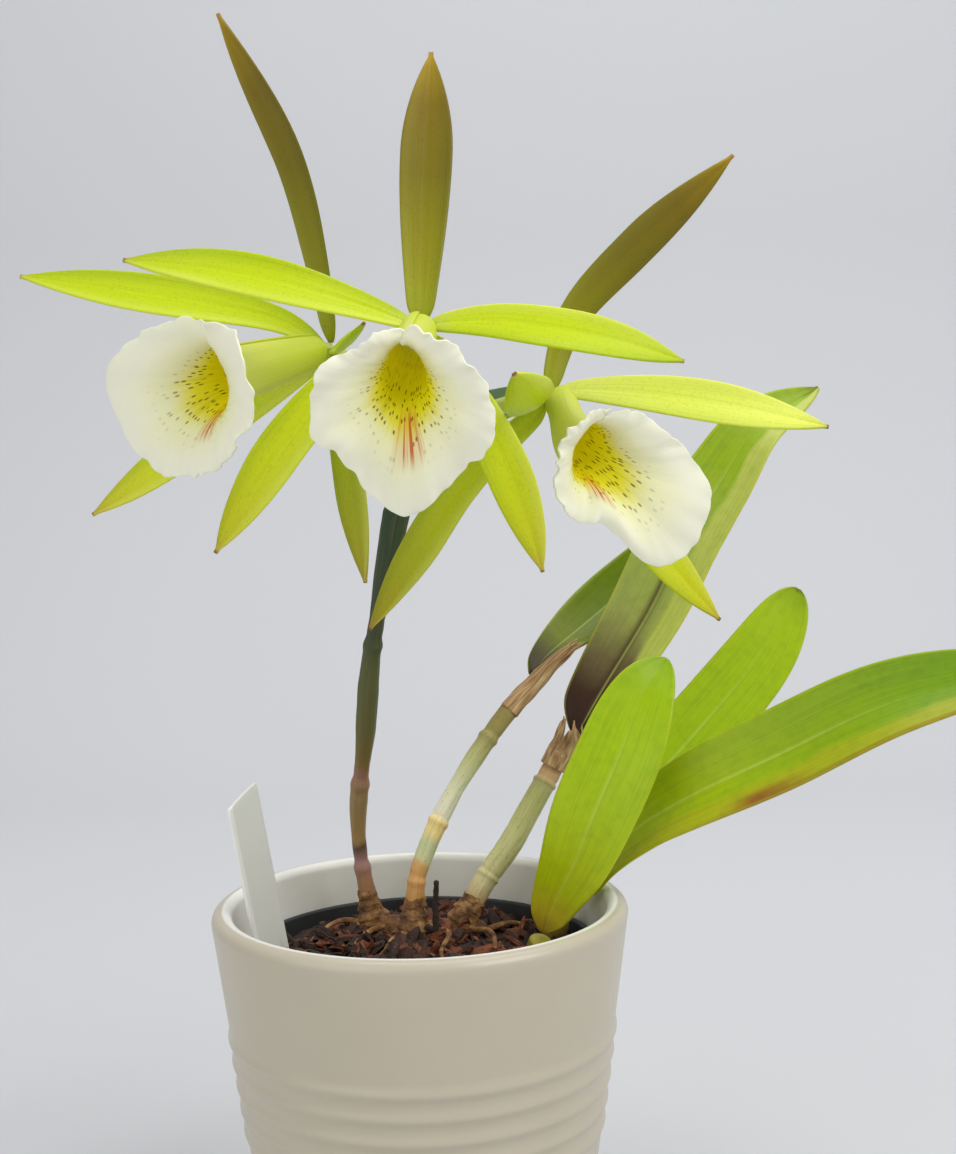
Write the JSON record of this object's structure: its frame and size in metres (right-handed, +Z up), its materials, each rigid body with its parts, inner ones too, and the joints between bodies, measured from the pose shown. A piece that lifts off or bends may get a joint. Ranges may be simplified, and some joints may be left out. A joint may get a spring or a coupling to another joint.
{
  "type": "potted orchid",
  "caption": "Orchid hybrid with narrow green petals and ruffled cream trumpet lips on arching canes, strap leaves, bark medium and a white tag, in a ribbed cream ceramic pot.",
  "frame": {"origin": "centre of the cover pot's flat bottom", "axes": "+Z up, -Y towards the side that the middle flower faces, +X to the right as seen from there"},
  "size_m": [0.2014, 0.1525, 0.2629],
  "materials": {
    "pot_ceramic": "satin",
    "nursery_plastic": "matte",
    "bark": "rough",
    "rhizome": "rough",
    "label_plastic": "satin",
    "cane_dark": "satin",
    "cane_pale": "satin",
    "papery_sheath": "matte",
    "leaf_green": "satin",
    "leaf_dark": "satin",
    "tepal_green": "satin",
    "tepal_olive": "satin",
    "lip_cream": "matte",
    "stalk_green": "satin"
  },
  "bodies": {
    "root": {"cover_pot": "pot_ceramic", "nursery_pot": "nursery_plastic", "bark_medium": "bark", "rhizome": "rhizome", "plant_label": "label_plastic", "old_stem_stub": "bark", "growth_front": "leaf_green", "growth_rear": "leaf_green", "cane_flowering": "cane_dark", "cane_middle": "cane_pale", "cane_right": "cane_pale", "leaf_front": "leaf_green", "leaf_mid_right": "leaf_green", "leaf_long_right": "leaf_green", "leaf_upper": "leaf_green", "leaf_upper_back": "leaf_green", "leaf_flowering": "leaf_dark", "dried_sheath_middle": "papery_sheath", "dried_sheath_right": "papery_sheath", "flower_stalk": "stalk_green", "left_flower_sepal_dorsal": "tepal_olive", "left_flower_sepal_left": "tepal_green", "left_flower_sepal_right": "tepal_green", "left_flower_petal_left": "tepal_green", "left_flower_petal_right": "tepal_green", "left_flower_lip": "lip_cream", "left_flower_column": "stalk_green", "left_flower_ovary": "stalk_green", "centre_flower_sepal_dorsal": "tepal_olive", "centre_flower_sepal_left": "tepal_green", "centre_flower_sepal_right": "tepal_green", "centre_flower_petal_left": "tepal_green", "centre_flower_petal_right": "tepal_green", "centre_flower_lip": "lip_cream", "centre_flower_column": "stalk_green", "centre_flower_ovary": "stalk_green", "right_flower_sepal_dorsal": "tepal_olive", "right_flower_sepal_left": "tepal_green", "right_flower_sepal_right": "tepal_green", "right_flower_petal_left": "tepal_green", "right_flower_petal_right": "tepal_green", "right_flower_lip": "lip_cream", "right_flower_column": "stalk_green", "right_flower_ovary": "stalk_green"}
  },
  "joints": []
}
